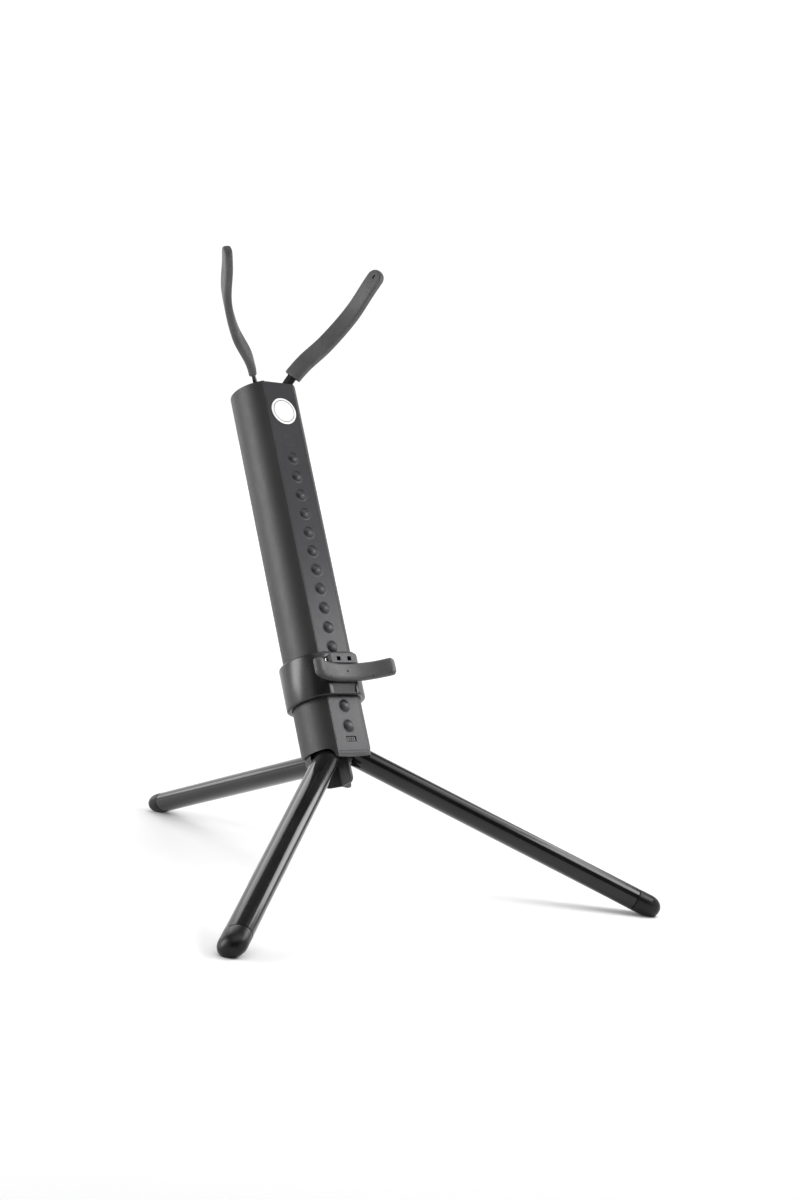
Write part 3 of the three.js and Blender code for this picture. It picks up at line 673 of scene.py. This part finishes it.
def collar():
    """The sliding collar with its ledge, pockets, panel and the channel that clears the domes."""
    outline = d_outline(COLLAR_RADIUS, COLLAR_FACE, 5)
    # Rounded outer edges: (step in from the wall, height above the end)
    rounding = [(1.4, 0), (0.75, 0.2), (0.25, 0.65), (0, 1.4)]
    levels = [(inset, COLLAR_LOW + rise) for inset, rise in rounding]
    levels += [(inset, COLLAR_HIGH - rise) for inset, rise in reversed(rounding)]
    rings = []
    for inset, level in levels:
        scale = 1 - inset / COLLAR_RADIUS
        rings.append([(x * scale, y * scale, level) for x, y in outline])
    piece = mesh_object("collar_fine", [loft(rings)], STEM, [COLLAR, RACK])

    ledge = rounded_ring(*LEDGE_HALF, 1.1, 3)
    stations = [(-COLLAR_FACE + 1, 1), (0.5 - LEDGE_FRONT, 1), (-LEDGE_FRONT, 0.97)]
    carve(piece, front_loft(ledge, stations, 0, LEDGE_LEVEL), "UNION")

    below, above = COLLAR_LOW - 5, COLLAR_HIGH + 5
    hole = d_outline(STEM_RADIUS + 0.4, FACE + 0.3, FACE_CORNER)
    cutters = [loft([[(x, y, z) for x, y in hole] for z in (below, above)])]
    # The channel for the domes, and the room for the detent spring
    channel_low = (-CHANNEL_HALF_WIDE, -CHANNEL_FRONT, below)
    cutters.append(box_part(channel_low, (CHANNEL_HALF_WIDE, -20, above)))
    across, along = SPRING_HALF
    spring_low = (-across, -SPRING_FRONT, YOKE_LEVEL - along)
    cutters.append(box_part(spring_low, (across, -25, YOKE_LEVEL + along)))
    low, high = POCKET_LEVELS
    for x in (-POCKET_OUT, POCKET_OUT):
        pocket_low = (x - POCKET_HALF_WIDE, -45, low)
        cutters.append(box_part(pocket_low, (x + POCKET_HALF_WIDE, -POCKET_BACK, high)))
    # A shallow panel under the yoke, deeper towards its lower edge
    panel = []
    for level, depth in PANEL_DEPTHS:
        front, back = -COLLAR_FACE - 2, -COLLAR_FACE + depth
        right, left = PANEL_HALF_WIDE, -PANEL_HALF_WIDE
        corners = ((right, front), (right, back), (left, back), (left, front))
        panel.append([(x, y, level) for x, y in corners])
    cutters.append(loft(panel))
    for cutter in cutters:
        carve(piece, cutter)
    to_stem = STEM.inverted()
    for polygon in piece.data.polygons:
        middle = to_stem @ polygon.center
        polygon.material_index = int(middle.y < -LEDGE_FRONT + 0.6 and middle.z > YOKE_LEVEL)
    soften(piece, 0.35, 2, 40)
    finish_piece(piece, "support", ["slide_collar"])


def clip():
    """The bright end of the detent spring, at the left end of the collar's ledge."""
    outline = rounded_ring(*CLIP_HALF, 0.4, 4)
    stations = [(-COLLAR_FACE + 0.3, 1), (-COLLAR_FACE - 2.1, 1), (-COLLAR_FACE - 2.4, 0.85)]
    part = front_loft(outline, stations, -CLIP_OUT, LEDGE_LEVEL)
    piece = mesh_object("spring_end", [part], STEM, [STEEL])
    finish_piece(piece, "support", [])


def yoke_rings():
    """Rings round the yoke's curve. The ends shrink as a quarter circle over the last millimetres."""
    end_angle = math.degrees(PAD_END / YOKE_RADIUS)
    tip = []
    for degrees in (90, 78, 64, 50, 36, 22, 10):
        rounding = math.radians(degrees)
        tip.append((YOKE_SWEEP + end_angle * math.sin(rounding), math.cos(rounding)))
    # A crease round the pad just before each end
    tip += [(YOKE_SWEEP - 0.6, 1), (YOKE_SWEEP - 1.0, 0.92), (YOKE_SWEEP - 1.4, 1)]
    inner, steps = YOKE_SWEEP - 2, 60
    stations = [(-degrees, scale) for degrees, scale in tip]
    stations += [(-inner + 2 * inner * i / steps, 1) for i in range(steps + 1)]
    stations += reversed(tip)
    rings = []
    for degrees, scale in stations:
        turn = math.radians(degrees)
        shrink = PAD_END * (1 - scale)
        ring = []
        thick, tall = max(PAD_THICK - shrink, 0.5), PAD_TALL - shrink
        for across, along in rounded_ring(thick, tall, min(PAD_CORNER, thick - 0.05), 6):
            out = YOKE_RADIUS + across
            ring.append((out * math.sin(turn), out * math.cos(turn) - YOKE_CENTRE, YOKE_LEVEL + along))
        rings.append(ring)
    return rings


def yoke():
    """The rubber pad for the saxophone's bow, with the seat of its bar, a dimple and two slits."""
    piece = mesh_object("yoke_pad_fine", [loft(yoke_rings())], STEM, [RUBBER])
    # Soft swelling of the moulded rubber, under two tenths of a millimetre
    to_stem = STEM.inverted()
    for vertex in piece.data.vertices:
        local = to_stem @ vertex.co
        swell = noise.noise(local * 0.11) * PAD_SWELL
        outward = Vector((0, 0, math.copysign(1, local.z - YOKE_LEVEL)))
        vertex.co = STEM @ (local + outward * swell)
    front = PAD_THICK + YOKE_CENTRE - YOKE_RADIUS
    dimple = lathe([(0, -1.2), (0.6, -1.2), (0.9, -0.4), (1.2, 0.6), (0, 0.6)], 16)
    cutters = [box_part(*SEAT_BOX), moved(dimple, on_front(front, YOKE_LEVEL))]
    # Short slits in the lower edge, either side
    low = YOKE_LEVEL - PAD_TALL
    slit_low = (-SLIT_HALF_WIDE, YOKE_RADIUS - 8, low - 2)
    slit = box_part(slit_low, (SLIT_HALF_WIDE, YOKE_RADIUS - 2.6, low + SLIT_TALL))
    for degrees in (-SLIT_SWEEP, SLIT_SWEEP):
        about = Matrix.Translation((0, -YOKE_CENTRE, 0)) @ Matrix.Rotation(math.radians(degrees), 4, "Z")
        cutters.append(moved(slit, about))
    for cutter in cutters:
        carve(piece, cutter)
    finish_piece(piece, "support", ["yoke_pad"], 50)


# ------------------------------------------------------------------------------------------------
# Arms


def spline_point(points, position):
    """A point on the centripetal Catmull-Rom spline through the points. position counts points."""
    index = min(int(position), len(points) - 2)
    share = position - index
    p1, p2 = points[index], points[index + 1]
    p0 = points[index - 1] if index > 0 else 2 * p1 - p2
    p3 = points[index + 2] if index + 2 < len(points) else 2 * p2 - p1
    spans = [max((b - a).length ** 0.5, 1e-4) for a, b in ((p0, p1), (p1, p2), (p2, p3))]
    leave = ((p1 - p0) / spans[0] - (p2 - p0) / (spans[0] + spans[1]) + (p2 - p1) / spans[1]) * spans[1]
    reach = ((p2 - p1) / spans[1] - (p3 - p1) / (spans[1] + spans[2]) + (p3 - p2) / spans[2]) * spans[1]
    t2, t3 = share * share, share**3
    along = (2 * t3 - 3 * t2 + 1) * p1 + (t3 - 2 * t2 + share) * leave
    return along + (3 * t2 - 2 * t3) * p2 + (t3 - t2) * reach


def arm_path():
    """Evenly spaced points along the arm."""
    route = [Vector(point) for point in ARM_ROUTE]
    fine = [spline_point(route, i / 60) for i in range(60 * (len(route) - 1) + 1)]
    reach = [0.0]
    for a, b in zip(fine, fine[1:]):
        reach.append(reach[-1] + (b - a).length)
    return fine, reach


ARM_FINE, ARM_REACH = arm_path()


def arm_frame(fraction):
    """Place, direction, thickness and width directions at a fraction of the arm's length."""
    target = fraction * ARM_REACH[-1]
    index = next((i for i, r in enumerate(ARM_REACH) if r >= target), len(ARM_REACH) - 1)
    index = max(1, index)
    share = (target - ARM_REACH[index - 1]) / (ARM_REACH[index] - ARM_REACH[index - 1])
    place = ARM_FINE[index - 1].lerp(ARM_FINE[index], share)
    behind, ahead = max(index - 4, 0), min(index + 3, len(ARM_FINE) - 1)
    tangent = (ARM_FINE[ahead] - ARM_FINE[behind]).normalized()
    fold = Vector((math.cos(math.radians(ARM_FOLD)), -math.sin(math.radians(ARM_FOLD)), 0))
    # In the plug the strip keeps to the plane it folds in, and past it the strip turns with the route
    free = min(max((place.z - STEM_LENGTH) / ARM_FREED, 0), 1)
    free = free * free * (3 - 2 * free)
    heading = fold.lerp(Vector((tangent.x, tangent.y, 0)).normalized(), free).normalized()
    flat = Vector((-heading.y, heading.x, 0))
    wide = flat.cross(tangent).normalized()
    return place, tangent, flat, wide


def arm_rings(half_wide, half_thick, corner, start, end, steps, corner_steps, side, tip_steps=0):
    """Rings along the arm. With tip steps, the end is half round across the width."""
    stations = [(start + (end - start) * i / steps, 0, half_wide, half_thick) for i in range(steps + 1)]
    for i in range(1, tip_steps + 1):
        angle = math.radians(88) * i / tip_steps
        beyond = half_wide * math.sin(angle)
        short = max(corner - (half_wide - beyond), 0)
        thick = half_thick - corner + math.sqrt(corner**2 - short**2)
        stations.append((end, beyond, half_wide * math.cos(angle), thick))
    rings = []
    for fraction, beyond, across, thick in stations:
        place, tangent, flat, wide = arm_frame(fraction)
        centre = place + tangent * beyond
        ring = []
        for a, b in rounded_ring(across, thick, min(corner, 0.95 * thick, 0.95 * across), corner_steps):
            point = centre + wide * a + flat * b
            ring.append((point.x * side, point.y, point.z))
        rings.append(ring)
    return rings


def arm(name, side):
    """One arm: the flat strip and the rubber sleeve round it."""
    strip_size = (STRIP_HALF_WIDE, STRIP_HALF_THICK, STRIP_CORNER)
    strip_rings = arm_rings(*strip_size, 0, STRIP_END, 60, 2, side)
    strip = mesh_object(f"arm_strip_{name}_fine", [loft(strip_rings)], STEM, [DARK_STEEL])
    finish_piece(strip, f"arm_{name}", [f"arm_strip_{name}"], 40)

    size = (SLEEVE_HALF_WIDE, SLEEVE_HALF_THICK, SLEEVE_CORNER)
    sleeve_rings = arm_rings(*size, SLEEVE_START, SLEEVE_END, 80, 8, side, 16)
    # A slightly drawn-in mouth where the rubber ends round the strip
    drawn_in = [value - 0.5 for value in size]
    mouth_at = SLEEVE_START - 0.004
    mouth = arm_rings(*drawn_in, mouth_at, mouth_at, 1, 8, side)[:1]
    sleeve = mesh_object(f"arm_sleeve_{name}_fine", [loft(mouth + sleeve_rings)], STEM, [RUBBER])
    bore_size = (STRIP_HALF_WIDE + BORE_PLAY, STRIP_HALF_THICK + BORE_PLAY, STRIP_CORNER)
    bore = arm_rings(*bore_size, BORE_START, STRIP_END + 0.004, 60, 2, side)
    # A short slot near the tip, in the side that faces the instrument
    place, tangent, flat, wide = arm_frame(SLEEVE_END + 0.006)
    slot = []
    for depth in (-2.0, -6):
        ring = []
        for a, b in rounded_ring(*SLOT_HALF, 0.85, 5):
            point = place + wide * a + tangent * b + flat * depth
            ring.append((point.x * side, point.y, point.z))
        slot.append(ring)
    for rings in (bore, slot):
        carve(sleeve, loft(rings))
    finish_piece(sleeve, f"arm_{name}", [f"arm_sleeve_{name}"], 45)


# ------------------------------------------------------------------------------------------------
# The object

stem_shell()
height_rack()
badge()
latch()
for leg_name in ("left", "right", "rear"):
    leg_tube(leg_name)
    foot_cap(leg_name)
    repaint(f"leg_plug_{leg_name}", INNER, 0.4)
    repaint(f"leg_pin_{leg_name}", STEEL)
collar()
clip()
yoke()
for arm_name, arm_side in (("left", -1), ("right", 1)):
    arm(arm_name, arm_side)
    repaint(f"arm_pin_{arm_name}", STEEL)
repaint("top_plug", INNER, 0.5)
repaint("leg_carriage", INNER, 0.5)
repaint("latch_rivet", STEEL)
repaint("detent_spring", STEEL)
repaint("yoke_bar", INNER)
for screw_name in ("left", "right"):
    repaint(f"yoke_screw_{screw_name}", STEEL)

# ------------------------------------------------------------------------------------------------
# Stage: a pale floor, a studio sky that is white at the horizon and dark overhead, soft lights


def sheet(name, width, depth, material):
    """A flat rectangle at the origin, facing up."""
    mesh = bpy.data.meshes.new(name)
    x, y = width / 2, depth / 2
    mesh.from_pydata([(-x, -y, 0), (x, -y, 0), (x, y, 0), (-x, y, 0)], [], [(0, 1, 2, 3)])
    mesh.materials.append(material)
    return bpy.data.objects.new(name, mesh)


def floor():
    """A pale sheet of paper, far larger than the view."""
    material, nodes, links, shader, place = node_material("floor_paper", (0.86,) * 3, 0.9)
    shader.inputs["Specular IOR Level"].default_value = 0.1
    vary_colour(nodes, links, shader, noise_texture(nodes, links, place, 3), (0.86,) * 3, (0.88,) * 3)
    # Far from the stand the paper glows a little, as if it swept up into a lit background
    distance = nodes.new("ShaderNodeVectorMath")
    distance.operation = "LENGTH"
    links.new(place, distance.inputs[0])
    far = nodes.new("ShaderNodeMapRange")
    far.inputs["From Min"].default_value = 0.5
    far.inputs["From Max"].default_value = 2.2
    far.inputs["To Min"].default_value = 0.0
    far.inputs["To Max"].default_value = 0.5
    links.new(distance.outputs["Value"], far.inputs["Value"])
    shader.inputs["Emission Color"].default_value = (1, 1, 1, 1)
    links.new(far.outputs["Result"], shader.inputs["Emission Strength"])
    paper = sheet("floor", 60, 60, material)
    bpy.context.scene.collection.objects.link(paper)


def sky():
    """Even white from the horizon up to 28 degrees, fading to dark grey from 42 degrees up."""
    world = bpy.data.worlds.new("studio")
    bpy.context.scene.world = world
    world.use_nodes = True
    nodes, links = world.node_tree.nodes, world.node_tree.links
    background = nodes["Background"]
    parts = nodes.new("ShaderNodeSeparateXYZ")
    links.new(nodes.new("ShaderNodeTexCoord").outputs["Generated"], parts.inputs["Vector"])
    ramp = nodes.new("ShaderNodeValToRGB")
    ramp.color_ramp.elements[0].position = math.sin(math.radians(28))
    ramp.color_ramp.elements[0].color = (1, 1, 1, 1)
    ramp.color_ramp.elements[1].position = math.sin(math.radians(42))
    ramp.color_ramp.elements[1].color = (0.16, 0.16, 0.17, 1)
    links.new(parts.outputs["Z"], ramp.inputs["Fac"])
    links.new(ramp.outputs["Color"], background.inputs["Color"])
    background.inputs["Strength"].default_value = 1.05


def toward(bearing, elevation):
    """Direction at a bearing counted from the front towards the right, both in degrees."""
    turn, rise = math.radians(bearing), math.radians(elevation)
    return Vector((math.sin(turn) * math.cos(rise), -math.cos(turn) * math.cos(rise), math.sin(rise)))


def aimed(obj, place, target, roll=0.0):
    """Puts a new object at a place and turns its -Z to a target."""
    direction = Vector(target) - Vector(place)
    obj.rotation_mode = "QUATERNION"
    turn = direction.to_track_quat("-Z", "Y")
    obj.rotation_quaternion = turn @ Matrix.Rotation(roll, 3, "Z").to_quaternion()
    obj.location = place
    bpy.context.scene.collection.objects.link(obj)


def softbox(name, target, bearing, elevation, distance, size, radiance, grid=90):
    """An even rectangle of light, seen from the target at a bearing and elevation. A grid keeps
    the light within an angle of the way it faces."""
    light = bpy.data.lights.new(name, "AREA")
    light.shape = "RECTANGLE"
    light.size, light.size_y = size
    half = math.radians(grid)
    passed = math.sin(half) ** 2 - (half - math.sin(half) * math.cos(half)) / math.tan(half)
    light.spread = 2 * half
    light.energy = radiance * math.pi * size[0] * size[1] * passed
    lamp = bpy.data.objects.new(name, light)
    aimed(lamp, Vector(target) + toward(bearing, elevation) * distance, target)
    lamp.visible_camera = False


def ceiling(bearing, elevation, strength, spread):
    """A very wide sun, for the soft light from above."""
    light = bpy.data.lights.new("ceiling", "SUN")
    light.energy = strength
    light.angle = math.radians(spread)
    aimed(bpy.data.objects.new("ceiling", light), toward(bearing, elevation), (0, 0, 0))


def flag(name, target, bearing, elevation, distance, size):
    """A black card that keeps light off one side. The camera doesn't see it."""
    card = sheet(name, *size, INNER)
    aimed(card, Vector(target) + toward(bearing, elevation) * distance, target)
    card.visible_camera = False


def camera():
    """The photograph's view: low, to the left of the front, and tipped a little."""
    distance = 1.852
    aim = Vector((0.0605, -0.0466, 0.2631))
    data = bpy.data.cameras.new("camera")
    data.sensor_width = 36
    data.lens = 59.1
    view = bpy.data.objects.new("camera", data)
    aimed(view, aim + toward(-37.77, 4.74) * distance, aim, math.radians(5.67))
    bpy.context.scene.camera = view


floor()
sky()
camera()
ceiling(-20, 80, strength=1.2, spread=60)
# Name, what it is aimed at, bearing, elevation, distance, size, radiance and grid
softbox("left_softbox", (0, 0.03, 0.25), -115, 11, 1.3, (0.56, 0.9), 8)
softbox("front_softbox", (0, -0.03, 0.13), 42, 39, 0.8, (0.56, 0.26), 7.5)
softbox("back_softbox", (-0.115, -0.15, 0.06), 158, 31, 1.6, (0.95, 0.62), 1.8)
softbox("rear_softbox", (0, 0.1, 0.06), -168, 12, 1.2, (0.4, 0.2), 2.2)
softbox("left_leg_strip", (-0.125, -0.165, 0.04), 92, 34, 0.5, (0.15, 0.3), 7, 40)
softbox("top_softbox", (0.05, -0.08, 0.15), 50, 68, 1.2, (0.9, 0.45), 1)
flag("front_flag", (0, 0, 0.25), -38, 20, 2.3, (2.8, 1.9))
bpy.context.scene.view_settings.view_transform = "Standard"
